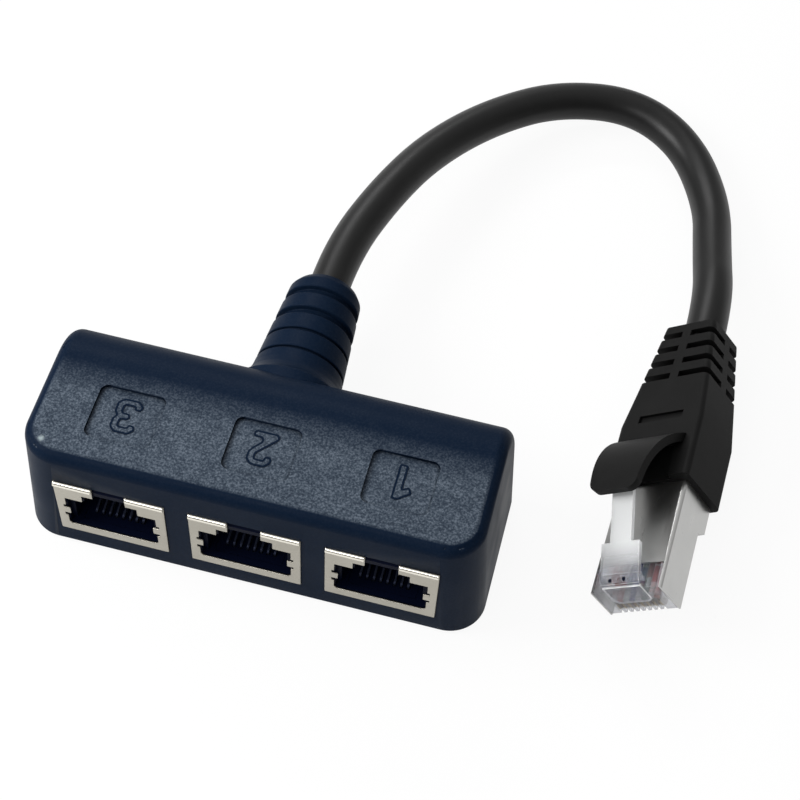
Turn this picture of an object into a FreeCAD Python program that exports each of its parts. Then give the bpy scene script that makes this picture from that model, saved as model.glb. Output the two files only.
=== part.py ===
import FreeCAD, Part
import math
import os

# Network splitter: one plug on a short cable feeds three jacks in a moulded housing.
# Frame: origin under the middle of the housing, jacks face -Y, cable leaves at +Y, +Z up.
# All sizes are in millimetres.

# Fit between nested pieces that do not move
seat_gap = 0.05
overcut = 1.0  # how far a cutting form reaches past the material

# Jacks
jack_count = 3
jack_pitch = 19.9
jack_rise = 4.5  # underside of the jack shields above the table

# Stamped jack shield
shield_width = 16.4
shield_height = 12.6
shield_depth = 13.6
shield_sheet = 0.3
shield_proud = 0.3  # how far the shield stands out of the housing
shield_fold = 0.25
ground_pin_width = 1.2
ground_pin_rise = 2.4
ground_pin_root = 0.5

# Window cut in the shield, heights above its underside
window_half_width = 6.75
window_sill = 1.8
window_lintel = 8.8
window_corner = 0.45
step_half_width = 4.1
step_top = 10.4
latch_gap_half_width = 2.4
latch_gap_depth = 1.7
tooth_half_width = 6.2
tooth_low = 4.75
tooth_high = 6.25
notch_half_width = 7.15
notch_height = 0.65

# Plug cavity in the jack body
cavity_half_width = 5.95
cavity_depth = 11.9
lead_in_depth = 0.9
lead_in_half_width = 6.6
body_floor = 0.65
cavity_top_margin = 0.1
latch_channel_half_width = 3.9
latch_channel_top = 10.3
latch_key_top = 10.9
body_front_bevel = 0.5

# Contact carrier and its contacts
carrier_half_width = 5.0
carrier_front = 1.3
carrier_height = 0.95
carrier_back_height = 4.2
carrier_back_thickness = 1.6
carrier_slot_floor = 0.3  # tray left under each contact
contact_count = 8
contact_pitch = 1.016
contact_width = 0.36
contact_thickness = 0.3
contact_bend_radius = 0.45
contact_bend_depth = 3.2
contact_free_length = 6.3
contact_slope = 12.0
contact_slot_width = 0.5
contact_tail = 0.8

# Circuit board
board_thickness = 1.6
board_margin = 1.0
pin_hole_margin = 0.06

# Housing
housing_length = 69.4  # at the table
housing_end_draft = 3.9  # degrees that each end leans in towards the top
housing_depth = 25.5
housing_height = 23.5
front_corner_radius = 5.5
edge_radius = 1.9
back_top_radius = 8.0
bottom_bevel = 0.8
rear_wall = 3.0
wire_space_half_width = 12.0
wire_space_low = 5.5
wire_space_high = 17.5

# Ribbed strain relief, part of the housing moulding
relief_x = -0.85
relief_rise = 11.75
relief_length = 21.2
relief_base_radius = 7.3
relief_tip_radius = 5.6
relief_mouth_radius = 4.1
relief_tip_round = 1.8
relief_root_flare = 1.3
groove_places = (4.4, 8.6)  # measured back from the tip
groove_width = 1.4
groove_depth = 0.85

# Number panels sunk in the top
panel_width = 9.7
panel_depth = 8.9
panel_corner = 1.2
panel_sink = 0.35
panel_setback = 9.2  # middle of the panel behind the housing front

# Cable
cable_diameter = 6.4
cable_stub = 1.6  # jacket that reaches into the wire space
cable_lead = 8.5
route = (
    (2.9, 46.4, 11.2),
    (7.6, 58.8, 9.6),
    (15.3, 70.6, 7.6),
    (25.4, 80.0, 5.6),
    (38.5, 83.7, 4.1),
    (48.9, 77.9, 3.4),
    (55.3, 65.4, 3.6),
    (56.8, 52.8, 5.6),
)

# Insulated wires
wire_diameter = 0.9
wire_sides = 12
wire_ring_radius = 2.2
pad_pitch_x = 2.2
pad_pitch_z = 4.4

# Plug, in its own frame: origin at the front edge of the shield's top, nose towards -Y, latch up
plug_x = 55.63
plug_y = -11.25
plug_yaw = -2.5
plug_roll = -39.5
plug_ground_gap = 0.15
plug_width = 11.68
plug_top = 3.3
plug_low = -2.7
heel_low = -4.25
plug_sheet = 0.25
plug_nose = 4.15
plug_back = 17.4
plug_heel = 8.6  # where the deeper rear half starts
plug_jacket_end = 10.6
jacket_axis = -0.45  # the cable lies this much off the middle of the boot
wire_axis = 0.3
wire_start = 1.0  # the wires stop this far behind the nose
blade_width = 0.3
blade_slot_width = 0.52
blade_length = 3.0
blade_recess = 0.2
blade_bevel = 0.5

# Plug latch
latch_root_half_width = 3.2
latch_half_width = 1.75
latch_thickness = 0.75
latch_root_length = 5.4
latch_angle = 18.5
latch_end = 10.8
latch_root_rise = 1.0
latch_setback = 0.35  # front of the latch behind the nose
latch_foot_front = 0.3
latch_foot_sink = 0.6
latch_foot_length = 0.9
latch_foot_web = 0.5
latch_overlap = 0.8

# Plug boot
boot_mouth = 13.9
boot_shoulder = 31.5
boot_tip = 44.3
boot_mouth_half_width = 7.1
boot_shoulder_half_width = 6.2
boot_tip_half_width = 4.45
boot_top = 5.2
boot_shoulder_top = 4.7
boot_tip_top = 4.0
boot_bottom = 5.1
boot_edge_round = 0.9
rib_count = 4
rib_gap = 1.15
rib_sleeve_radius = 3.8
rib_spine_half_width = 0.75
boot_slot_half_width = 3.8
boot_slot_length = 1.4
boot_slot_depth = 0.6
boot_slot_place = 24.5
hood_root = 21.4
hood_root_half_width = 5.5
hood_end = 7.3
hood_end_half_width = 3.8
hood_thickness = 1.3
hood_crown = (14.4, 11.0)
hood_end_height = 11.8
hood_corner = 1.6
hood_root_sink = 0.4
latch_well_half_width = 3.9
latch_well_floor = 0.75  # boot wall left over the plug's rear

# Places worked out from the sizes
V = FreeCAD.Vector
overall_depth = shield_proud + housing_depth + relief_length
shield_front = -overall_depth / 2
housing_front = shield_front + shield_proud
housing_back = housing_front + housing_depth
relief_tip = housing_back + relief_length
board_front = shield_front + shield_depth + seat_gap
board_back = board_front + board_thickness
board_low = jack_rise - board_margin
board_high = jack_rise + shield_height + board_margin
board_half_length = (jack_count - 1) / 2 * jack_pitch + shield_width / 2 + board_margin
inner_back = housing_back - rear_wall
jacket_end = inner_back - cable_stub
cable_radius = cable_diameter / 2
carrier_low = body_floor + shield_sheet + seat_gap
carrier_top = carrier_low + carrier_height
contact_run = carrier_low + carrier_slot_floor + contact_thickness / 2 + seat_gap
pin_reach = shield_depth + seat_gap + board_thickness + contact_tail


def block(x_low, x_high, y_low, y_high, z_low, z_high):
    size = (x_high - x_low, y_high - y_low, z_high - z_low)
    return Part.makeBox(*size, V(x_low, y_low, z_low))


def wide_block(half_width, y_low, y_high, z_low, z_high):
    return block(-half_width, half_width, y_low, y_high, z_low, z_high)


def prism(points, reach):
    """A straight prism on the closed outline through the points."""
    outline = Part.makePolygon(list(points) + [points[0]])
    return Part.Face(outline).extrude(reach)


def cylinder_between(start, end, radius):
    return Part.makeCylinder(radius, (end - start).Length, start, end - start)


def jack_x(index):
    return (index - (jack_count - 1) / 2) * jack_pitch


def contact_x(index):
    return (index - (contact_count - 1) / 2) * contact_pitch


def seat_jack_piece(shape, index):
    """Moves a piece from the jack's own frame to its place in the housing."""
    placed = shape.copy()
    placed.translate(V(jack_x(index), shield_front, jack_rise))
    return placed


def mirrored_outline(half):
    """Closes a half outline, given top to bottom on the +X side, over the YZ plane."""
    other = [V(-p.x, p.y, p.z) for p in reversed(half)]
    return list(half) + other


# Jack pieces, in the jack's own frame: front face at y = 0, underside at z = 0

def window_tool():
    over = shield_height + overcut
    notch_low = tooth_low - notch_height
    notch_high = tooth_high + notch_height
    half = [
        (latch_gap_half_width, over),
        (latch_gap_half_width, step_top),
        (step_half_width, step_top),
        (step_half_width, window_lintel),
        (window_half_width, window_lintel),
        (window_half_width, notch_high),
        (notch_half_width, notch_high),
        (notch_half_width, tooth_high),
        (tooth_half_width, tooth_high),
        (tooth_half_width, tooth_low),
        (notch_half_width, tooth_low),
        (notch_half_width, notch_low),
        (window_half_width, notch_low),
        (window_half_width, window_sill + window_corner),
        (window_half_width - window_corner, window_sill),
    ]
    outline = mirrored_outline([V(x, -overcut, z) for x, z in half])
    return prism(outline, V(0, 1.1 * shield_sheet + overcut, 0))


def make_jack_shield():
    half = shield_width / 2
    outer = wide_block(half, 0, shield_depth, 0, shield_height)
    front_edges = [e for e in outer.Edges if e.BoundBox.YMax < 0.01]
    outer = outer.makeFillet(min(shield_fold, 0.9 * shield_sheet), front_edges)
    over = shield_height + overcut
    inner = wide_block(half - shield_sheet, shield_sheet, shield_depth + overcut,
                       shield_sheet, shield_height - shield_sheet)
    gap = wide_block(latch_gap_half_width, -overcut, latch_gap_depth, step_top, over)
    shell = outer.cut(inner).cut(window_tool()).cut(gap)
    pin_end = shield_depth + seat_gap + board_thickness + contact_tail
    for side in (-1, 1):
        middle = side * (half - shield_sheet / 2)
        pin = block(middle - shield_sheet / 2, middle + shield_sheet / 2, shield_depth - ground_pin_root,
                    pin_end, ground_pin_rise, ground_pin_rise + ground_pin_width)
        shell = shell.fuse(pin)
    return shell.removeSplitter()


def make_jack_body():
    inset = shield_sheet + seat_gap
    body = wide_block(shield_width / 2 - inset, inset, shield_depth,
                      inset, shield_height - inset)
    top_edges = [e for e in body.Edges
                 if e.BoundBox.YMax < inset + 0.01 and e.BoundBox.ZMin > shield_height - inset - 0.01]
    body = body.makeChamfer(body_front_bevel, top_edges)
    ceiling = window_lintel - cavity_top_margin
    half = [
        (latch_gap_half_width, latch_key_top),
        (latch_gap_half_width, latch_channel_top),
        (latch_channel_half_width, latch_channel_top),
        (latch_channel_half_width, ceiling),
        (cavity_half_width, ceiling),
        (cavity_half_width, carrier_top),
    ]
    outline = mirrored_outline([V(x, -overcut, z) for x, z in half])
    cavity = prism(outline, V(0, overcut + cavity_depth, 0))
    lead_in = wide_block(lead_in_half_width, 0, inset + lead_in_depth, carrier_top, ceiling)
    seat = wide_block(carrier_half_width + seat_gap, carrier_front - seat_gap,
                      shield_depth + overcut, carrier_low - seat_gap, carrier_top + 0.01)
    back = wide_block(carrier_half_width + seat_gap, shield_depth - carrier_back_thickness - seat_gap,
                      shield_depth + overcut, carrier_low - seat_gap,
                      carrier_low + carrier_back_height + seat_gap)
    return body.cut(cavity).cut(lead_in).cut(seat).cut(back).removeSplitter()


def make_contact_carrier():
    tray = wide_block(carrier_half_width, carrier_front, shield_depth, carrier_low, carrier_top)
    back = wide_block(carrier_half_width, shield_depth - carrier_back_thickness, shield_depth,
                      carrier_low, carrier_low + carrier_back_height)
    carrier = tray.fuse(back)
    for index in range(contact_count):
        x = contact_x(index)
        front = contact_bend_depth - contact_bend_radius - contact_thickness
        slot = block(x - contact_slot_width / 2, x + contact_slot_width / 2, front,
                     shield_depth + overcut, contact_run - contact_thickness / 2 - seat_gap,
                     carrier_top + 0.01)
        carrier = carrier.cut(slot)
    return carrier.removeSplitter()


def make_contact(index):
    """One spring contact: a pin through the board, a run along the tray and a rising free arm."""
    half = contact_thickness / 2
    slope = math.radians(contact_slope)
    low = contact_run
    bend_low = V(0, contact_bend_depth, low)
    bend_high = bend_low + V(0, 0, 2 * contact_bend_radius)
    nose = V(0, contact_bend_depth - contact_bend_radius, low + contact_bend_radius)
    arm = V(0, math.cos(slope), math.sin(slope)) * contact_free_length
    middle = [V(0, pin_reach, low), bend_low, nose, bend_high, bend_high + arm]
    profile = strip_outline(middle, half)
    face = Part.Face(Part.makePolygon(profile + [profile[0]]))
    face.translate(V(contact_x(index) - contact_width / 2, 0, 0))
    return face.extrude(V(contact_width, 0, 0))


def strip_outline(middle, half):
    """Outline of a bent strip in the YZ plane, half a thickness each side of its middle line."""
    one_side = []
    other_side = []
    for index, here in enumerate(middle):
        before = middle[max(index - 1, 0)]
        after = middle[min(index + 1, len(middle) - 1)]
        into = (here - before) if index else (after - here)
        out = (after - here) if index < len(middle) - 1 else into
        into = V(into).normalize()
        out = V(out).normalize()
        normal = V(0, -(into.z + out.z), into.y + out.y).normalize()
        reach = half / math.cos(into.getAngle(out) / 2)
        one_side.append(here + normal * reach)
        other_side.append(here - normal * reach)
    return one_side + other_side[::-1]


# Housing and board

def make_board():
    board = wide_block(board_half_length, board_front, board_back, board_low, board_high)
    margin = pin_hole_margin
    for jack in range(jack_count):
        for index in range(contact_count):
            x = jack_x(jack) + contact_x(index)
            z = jack_rise + contact_run
            hole = block(x - contact_width / 2 - margin, x + contact_width / 2 + margin,
                         board_front - overcut, board_back + overcut,
                         z - contact_thickness / 2 - margin, z + contact_thickness / 2 + margin)
            board = board.cut(hole)
        for side in (-1, 1):
            x = jack_x(jack) + side * (shield_width / 2 - shield_sheet / 2)
            z = jack_rise + ground_pin_rise
            hole = block(x - shield_sheet / 2 - margin, x + shield_sheet / 2 + margin,
                         board_front - overcut, board_back + overcut, z - margin,
                         z + ground_pin_width + margin)
            board = board.cut(hole)
    return board


def housing_block():
    """The outer block: small rounds all over and one large round along the top of the back."""
    half = housing_length / 2
    radius = back_top_radius
    turn = radius * (1 - math.sqrt(0.5))
    front_low = V(-half, housing_front, 0)
    back_low = V(-half, housing_back, 0)
    back_turn = V(-half, housing_back, housing_height - radius)
    middle = V(-half, housing_back - turn, housing_height - turn)
    top_turn = V(-half, housing_back - radius, housing_height)
    front_top = V(-half, housing_front, housing_height)
    edges = [
        Part.LineSegment(front_low, back_low),
        Part.LineSegment(back_low, back_turn),
        Part.Arc(back_turn, middle, top_turn),
        Part.LineSegment(top_turn, front_top),
        Part.LineSegment(front_top, front_low),
    ]
    profile = Part.Face(Part.Wire([e.toShape() for e in edges]))
    lean = math.tan(math.radians(housing_end_draft))
    top_half = half - housing_height * lean
    sides = [V(-half, 0, 0), V(half, 0, 0), V(top_half, 0, housing_height),
             V(-top_half, 0, housing_height)]
    taper = prism([p + V(0, housing_front - overcut, 0) for p in sides],
                  V(0, housing_depth + 2 * overcut, 0))
    solid = profile.extrude(V(housing_length, 0, 0)).common(taper)

    def upright(edge):
        box = edge.BoundBox
        return box.ZLength > 1 and box.YMax < housing_front + 0.01

    solid = solid.makeFillet(front_corner_radius, [e for e in solid.Edges if upright(e)])

    def on_end(vertex):
        point = vertex.Point
        return abs(abs(point.x) - (half - point.z * lean)) < 0.01

    def rim(edge):
        box = edge.BoundBox
        at_front = box.YMax < housing_front + front_corner_radius + 0.01
        round_end = all(on_end(v) for v in edge.Vertexes) and box.ZMax > 0.01
        front_upright = box.ZLength > 1 and at_front
        top_front = box.ZMin > housing_height - 0.01 and at_front
        return (round_end and not front_upright) or top_front

    solid = solid.makeFillet(edge_radius, [e for e in solid.Edges if rim(e)])
    bottom = [e for e in solid.Edges if e.BoundBox.ZMax < 0.01]
    return solid.makeChamfer(bottom_bevel, bottom)


def relief_radius(place):
    """Outer radius of the relief at a distance back from its tip."""
    share = place / relief_length
    return relief_tip_radius + (relief_base_radius - relief_tip_radius) * share


def make_relief():
    root = inner_back
    axis_z = relief_rise

    def point(place, radius):
        return V(relief_x, relief_tip - place, axis_z + radius)

    round_end = point(relief_tip_round, relief_radius(relief_tip_round))
    round_middle = point(0.3 * relief_tip_round,
                         0.35 * relief_mouth_radius + 0.65 * relief_radius(relief_tip_round))
    mouth = point(0, relief_mouth_radius)
    outline = [round_end]
    for place in groove_places:
        near = place - groove_width / 2
        far = place + groove_width / 2
        floor = relief_radius(place) - groove_depth
        outline += [point(near, relief_radius(near)), point(near, floor),
                    point(far, floor), point(far, relief_radius(far))]
    flare_place = relief_length - relief_root_flare
    root_place = relief_tip - root
    flare_radius = relief_radius(relief_length) + relief_root_flare
    outline.append(point(flare_place, relief_radius(flare_place)))
    outline.append(point(relief_length, flare_radius))
    outline.append(point(root_place, flare_radius))
    outline.append(point(root_place, 0))
    outline += [point(0, 0), mouth, round_middle, round_end]
    profile = Part.Face(Part.makePolygon(outline))
    return profile.revolve(V(relief_x, 0, axis_z), V(0, 1, 0), 360)


def panel_recess(x):
    """The shallow pocket that one port number stands in."""
    y = housing_front + panel_setback
    pocket = block(x - panel_width / 2, x + panel_width / 2, y - panel_depth / 2,
                   y + panel_depth / 2, housing_height - panel_sink, housing_height + overcut)
    corners = [e for e in pocket.Edges if e.BoundBox.ZLength > panel_sink]
    return pocket.makeFillet(panel_corner, corners)


def make_housing():
    solid = housing_block().fuse(make_relief()).removeSplitter()
    for index in range(jack_count):
        x = jack_x(index)
        half = shield_width / 2 + seat_gap
        pocket = block(x - half, x + half, housing_front - overcut, board_front,
                       jack_rise - seat_gap, jack_rise + shield_height + seat_gap)
        solid = solid.cut(pocket)
        solid = solid.cut(panel_recess(x))
    board_space = wide_block(board_half_length + seat_gap, board_front - seat_gap,
                             board_back + contact_tail + 2 * seat_gap,
                             board_low - seat_gap, board_high + seat_gap)
    wire_space = wide_block(wire_space_half_width, board_back, inner_back,
                            wire_space_low, wire_space_high)
    bore = cylinder_between(V(relief_x, inner_back - overcut, relief_rise),
                            V(relief_x, relief_tip + overcut, relief_rise), cable_radius + seat_gap)
    return solid.cut(board_space).cut(wire_space).cut(bore)


# Plug pieces, in the plug's own frame

def plug_placement():
    """Turns the plug by its roll and yaw and sets the boot's lowest corner on the table."""
    turn = FreeCAD.Rotation(V(0, 0, 1), plug_yaw) * FreeCAD.Rotation(V(0, 1, 0), plug_roll)
    corners = [turn.multVec(V(side * boot_mouth_half_width, boot_mouth, -boot_bottom))
               for side in (-1, 1)]
    lowest = min(c.z for c in corners)
    return FreeCAD.Placement(V(plug_x, plug_y, plug_ground_gap - lowest), turn)


def seat_plug_piece(shape):
    placed = shape.copy()
    placed.Placement = plug_placement().multiply(placed.Placement)
    return placed


def side_profile(half_width, points):
    """A prism across the plug on an outline in its YZ plane."""
    return prism([V(-half_width, y, z) for y, z in points], V(2 * half_width, 0, 0))


def plug_outline(inset, nose, back):
    """Side outline of the plug: shallow at the nose, deeper behind the heel."""
    heel_end = plug_heel + 0.5 * (plug_low - heel_low)
    return [
        (-nose, plug_top - inset),
        (back, plug_top - inset),
        (back, heel_low + inset),
        (heel_end, heel_low + inset),
        (plug_heel, plug_low + inset),
        (-nose, plug_low + inset),
    ]


def make_latch():
    """Latch moulded on the nose: a wide root, then a narrow arm that rises towards the boot."""
    rise = math.tan(math.radians(latch_angle))
    start = -plug_nose + latch_setback
    skin = plug_top - plug_sheet
    shoulder = start + latch_root_length
    web = start + latch_foot_length + latch_foot_web
    base_low = plug_top + latch_root_rise

    def height(y):
        return base_low + (y - start) * rise

    root = side_profile(latch_root_half_width, [
        (start - latch_foot_front, skin - latch_foot_sink),
        (start - latch_foot_front, height(start) + latch_thickness / 2),
        (start + latch_foot_web, height(start + latch_foot_web) + latch_thickness),
        (shoulder, height(shoulder) + latch_thickness),
        (shoulder, height(shoulder)),
        (web, height(web)),
        (start + latch_foot_length, skin - latch_foot_sink),
    ])
    behind = shoulder - latch_overlap
    arm = side_profile(latch_half_width, [
        (behind, height(behind) + latch_thickness),
        (latch_end, height(latch_end) + latch_thickness),
        (latch_end, height(latch_end)),
        (behind, height(behind)),
    ])
    corners = [e for e in arm.Edges if e.BoundBox.XLength < 0.01 and e.BoundBox.YMin > latch_end - latch_thickness]
    arm = arm.makeFillet(0.5 * latch_thickness, corners[:2])
    return root.fuse(arm)


def make_plug_body():
    inset = plug_sheet + seat_gap
    half = plug_width / 2 - inset
    body = side_profile(half, plug_outline(inset, plug_nose, plug_back))
    jacket_hole = cylinder_between(V(0, plug_jacket_end - seat_gap, jacket_axis),
                                   V(0, plug_back + overcut, jacket_axis), cable_radius + seat_gap)
    channel_half = contact_count * contact_pitch / 2 + seat_gap
    wire_radius = wire_diameter / 2 + seat_gap
    channel = wide_block(channel_half, -plug_nose + wire_start - seat_gap, plug_jacket_end,
                         wire_axis - wire_radius, wire_axis + wire_radius)
    body = body.cut(jacket_hole).cut(channel)
    for index in range(contact_count):
        x = contact_x(index)
        slot = block(x - blade_slot_width / 2, x + blade_slot_width / 2, -plug_nose - overcut,
                     -plug_nose + blade_recess + blade_length + seat_gap,
                     plug_low - overcut, wire_axis - wire_radius)
        body = body.cut(slot)
    return body.fuse(make_latch()).removeSplitter()


def make_plug_shield():
    outer = side_profile(plug_width / 2, plug_outline(0, plug_nose, plug_back))
    inner = side_profile(plug_width / 2 - plug_sheet,
                         plug_outline(plug_sheet, plug_nose + overcut, plug_back + overcut))
    shell = outer.cut(inner)
    open_top = wide_block(plug_width / 2 - plug_sheet, -plug_nose - overcut, 0,
                          0, plug_top + overcut)
    open_bottom = wide_block(plug_width / 2 - plug_sheet, -plug_nose - overcut, plug_heel,
                             heel_low - overcut, 0)
    return shell.cut(open_top).cut(open_bottom).removeSplitter()


def make_blade(index):
    x = contact_x(index)
    front = -plug_nose + blade_recess
    top = wire_axis - wire_diameter / 2 - seat_gap
    low = plug_low + plug_sheet + blade_recess
    outline = [
        (front, low + blade_bevel),
        (front, top - blade_bevel),
        (front + blade_bevel, top),
        (front + blade_length, top),
        (front + blade_length, low),
        (front + blade_bevel, low),
    ]
    blade = side_profile(blade_width / 2, outline)
    blade.translate(V(x, 0, 0))
    return blade


def make_plug_wire(index):
    x = contact_x(index)
    return cylinder_between(V(x, -plug_nose + wire_start, wire_axis),
                            V(x, plug_jacket_end - seat_gap, wire_axis), wire_diameter / 2)


def rounded_section(half_width, low, high, y):
    """A rectangle with rounded corners, across the plug at y."""
    r = boot_edge_round
    c = r * (1 - math.sqrt(0.5))
    corners = ((half_width, high, 1, 1), (-half_width, high, -1, 1),
               (-half_width, low, -1, -1), (half_width, low, 1, -1))
    edges = []
    last = None
    for x, z, side_x, side_z in corners:
        on_side = V(x, y, z - side_z * r)
        on_level = V(x - side_x * r, y, z)
        middle = V(x - side_x * c, y, z - side_z * c)
        first, second = (on_side, on_level) if side_x == side_z else (on_level, on_side)
        if last is None:
            start = first
        else:
            edges.append(Part.LineSegment(last, first).toShape())
        edges.append(Part.Arc(first, middle, second).toShape())
        last = second
    edges.append(Part.LineSegment(last, start).toShape())
    return Part.Wire(edges)


def boot_block():
    """The boot's outer form: rounded sections that narrow towards the cable."""
    sections = [
        rounded_section(boot_mouth_half_width, -boot_bottom, boot_top, boot_mouth),
        rounded_section(boot_mouth_half_width, -boot_bottom, boot_top, boot_slot_place),
        rounded_section(boot_shoulder_half_width, -boot_shoulder_top, boot_shoulder_top,
                        boot_shoulder),
        rounded_section(boot_tip_half_width, -boot_tip_top, boot_tip_top, boot_tip),
    ]
    return Part.makeLoft(sections, True, True)


def hood_tool():
    """The hood over the latch: an arched strip that narrows towards its free end."""
    start = V(0, hood_root, boot_top - hood_root_sink)
    crown = V(0, hood_crown[0], hood_crown[1])
    end = V(0, hood_end, hood_end_height)
    outer = Part.Arc(start, crown, end)
    circle = outer.toShape().Curve
    centre = circle.Center
    radius = circle.Radius

    def inward(point):
        return centre + (point - centre) * ((radius - hood_thickness) / radius)

    edges = [
        outer,
        Part.LineSegment(end, inward(end)),
        Part.Arc(inward(end), inward(crown), inward(start)),
        Part.LineSegment(inward(start), start),
    ]
    wire = Part.Wire([e.toShape() for e in edges])
    wire.translate(V(-hood_root_half_width, 0, 0))
    strip = Part.Face(wire).extrude(V(2 * hood_root_half_width, 0, 0))
    taper = (hood_root_half_width - hood_end_half_width) / (hood_root - hood_end)
    end_half = hood_end_half_width - taper * overcut
    plan = [
        V(hood_root_half_width, hood_root + overcut, 0),
        V(end_half, hood_end - overcut, 0),
        V(-end_half, hood_end - overcut, 0),
        V(-hood_root_half_width, hood_root + overcut, 0),
    ]
    strip = strip.common(prism(plan, V(0, 0, 2 * hood_end_height)))
    corners = [e for e in strip.Edges
               if e.BoundBox.XLength < 0.2 and e.BoundBox.YMax < hood_end + 1 and
               e.BoundBox.ZLength > hood_thickness / 2 and abs(e.BoundBox.Center.x) > 1]
    return strip.makeFillet(hood_corner, corners)


def rib_cuts():
    """Slots between the boot's ribs: they leave an inner sleeve and a spine above and below."""
    zone = boot_tip - boot_shoulder
    pitch = zone / (rib_count + 0.5)
    sleeve = cylinder_between(V(0, boot_shoulder - overcut, jacket_axis),
                              V(0, boot_tip + overcut, jacket_axis), rib_sleeve_radius)
    reach = 2 * boot_mouth_half_width
    spine = wide_block(rib_spine_half_width, boot_shoulder - overcut, boot_tip + overcut,
                       -reach, reach)
    side_spine = wide_block(reach, boot_shoulder - overcut, boot_tip + overcut,
                            jacket_axis - rib_spine_half_width, jacket_axis + rib_spine_half_width)
    cuts = []
    for row in range(rib_count):
        y = boot_shoulder + pitch * (row + 0.55)
        slab = wide_block(reach, y, y + rib_gap, -reach, reach)
        cuts.append(slab.cut(sleeve).cut(spine).cut(side_spine))
    return cuts


def make_boot():
    solid = boot_block().fuse(hood_tool())
    for cut in rib_cuts():
        solid = solid.cut(cut)
    slot = wide_block(boot_slot_half_width, boot_slot_place, boot_slot_place + boot_slot_length,
                      boot_top - boot_slot_depth, boot_top + overcut)
    half = plug_width / 2 + seat_gap
    pocket = wide_block(half, boot_mouth - overcut, plug_back + seat_gap,
                        heel_low - seat_gap, plug_top + seat_gap)
    well = wide_block(latch_well_half_width, boot_mouth - overcut, hood_root - hood_thickness,
                      plug_top + latch_well_floor, boot_top + 0.01)
    bore = cylinder_between(V(0, plug_back - overcut, jacket_axis),
                            V(0, boot_tip + overcut, jacket_axis), cable_radius + seat_gap)
    solid = solid.cut(slot).cut(pocket).cut(well)
    return solid.cut(bore).removeSplitter()


# Cable and wires

def cable_path(points):
    """Straight runs joined by tangent arcs, each as large as its two runs allow."""
    edges = []
    radii = []
    start = points[0]
    for before, here, after in zip(points, points[1:], points[2:]):
        run_in = here - before
        run_out = after - here
        turn = run_in.getAngle(run_out)
        reach = 0.45 * min(run_in.Length, run_out.Length)
        radius = reach / math.tan(turn / 2)
        into = V(run_in).normalize()
        out = V(run_out).normalize()
        arc_start = here - into * reach
        arc_end = here + out * reach
        to_centre = V(out - into).normalize()
        sagitta = radius / math.cos(turn / 2) - radius
        middle = here + to_centre * sagitta
        edges.append(Part.LineSegment(start, arc_start).toShape())
        edges.append(Part.Arc(arc_start, middle, arc_end).toShape())
        radii.append(radius)
        start = arc_end
    edges.append(Part.LineSegment(start, points[-1]).toShape())
    return Part.Wire(edges), radii


def make_cable():
    """Jacket from the wire space through the relief, round the loop and into the plug."""
    exit_point = V(relief_x, relief_tip, relief_rise)
    place = plug_placement()
    boot_end = place.multVec(V(0, boot_tip, jacket_axis))
    inside_plug = place.multVec(V(0, plug_jacket_end, jacket_axis))
    plug_axis = (boot_end - inside_plug).normalize()
    points = [exit_point, exit_point + V(0, cable_lead, 0)]
    points += [V(*p) for p in route]
    points += [boot_end + plug_axis * cable_lead, boot_end]
    path, radii = cable_path(points)
    profile = Part.Wire(Part.makeCircle(cable_radius, exit_point, V(0, 1, 0)))
    free = path.makePipeShell([profile], True, False)
    print("cable radii", [round(r, 1) for r in radii], "length", round(path.Length, 1))
    print("cable volume share", round(free.Volume / (math.pi * cable_radius ** 2 * path.Length), 4))
    in_housing = cylinder_between(V(relief_x, jacket_end, relief_rise), exit_point, cable_radius)
    in_plug = cylinder_between(boot_end, inside_plug, cable_radius)
    return free.fuse(in_housing).fuse(in_plug).removeSplitter()


def wire_bar(start, end):
    """One hidden wire, drawn with twelve sides."""
    along = end - start
    across = along.cross(V(0, 0, 1)).normalize()
    upward = across.cross(along).normalize()
    ring = []
    for side in range(wire_sides):
        angle = 2 * math.pi * side / wire_sides
        spoke = across * math.cos(angle) + upward * math.sin(angle)
        ring.append(start + spoke * (wire_diameter / 2))
    return prism(ring, along)


def make_board_wires():
    """Eight wires from the end of the jacket, fanned out to two rows of pads on the board."""
    wires = []
    between = wide_block(wire_space_half_width, board_back, jacket_end, wire_space_low,
                         wire_space_high)
    per_row = contact_count // 2
    for index in range(contact_count):
        angle = 2 * math.pi * (index + 0.5) / contact_count
        start = V(relief_x + wire_ring_radius * math.cos(angle), jacket_end,
                  relief_rise + wire_ring_radius * math.sin(angle))
        row = 1 if index < per_row else -1
        column = row * ((per_row - 1) / 2 - index % per_row)
        end = V(relief_x + column * pad_pitch_x, board_back, relief_rise + row * pad_pitch_z / 2)
        along = (end - start).normalize()
        wires.append(wire_bar(start - along, end + along).common(between))
    return Part.makeCompound(wires)


def export(name, shape):
    if not shape.isValid():
        print("not valid:", name)
    shape.exportStep(os.path.join("parts", name + ".step"))
    print(name, len(shape.Solids), round(shape.Volume, 1))


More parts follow.
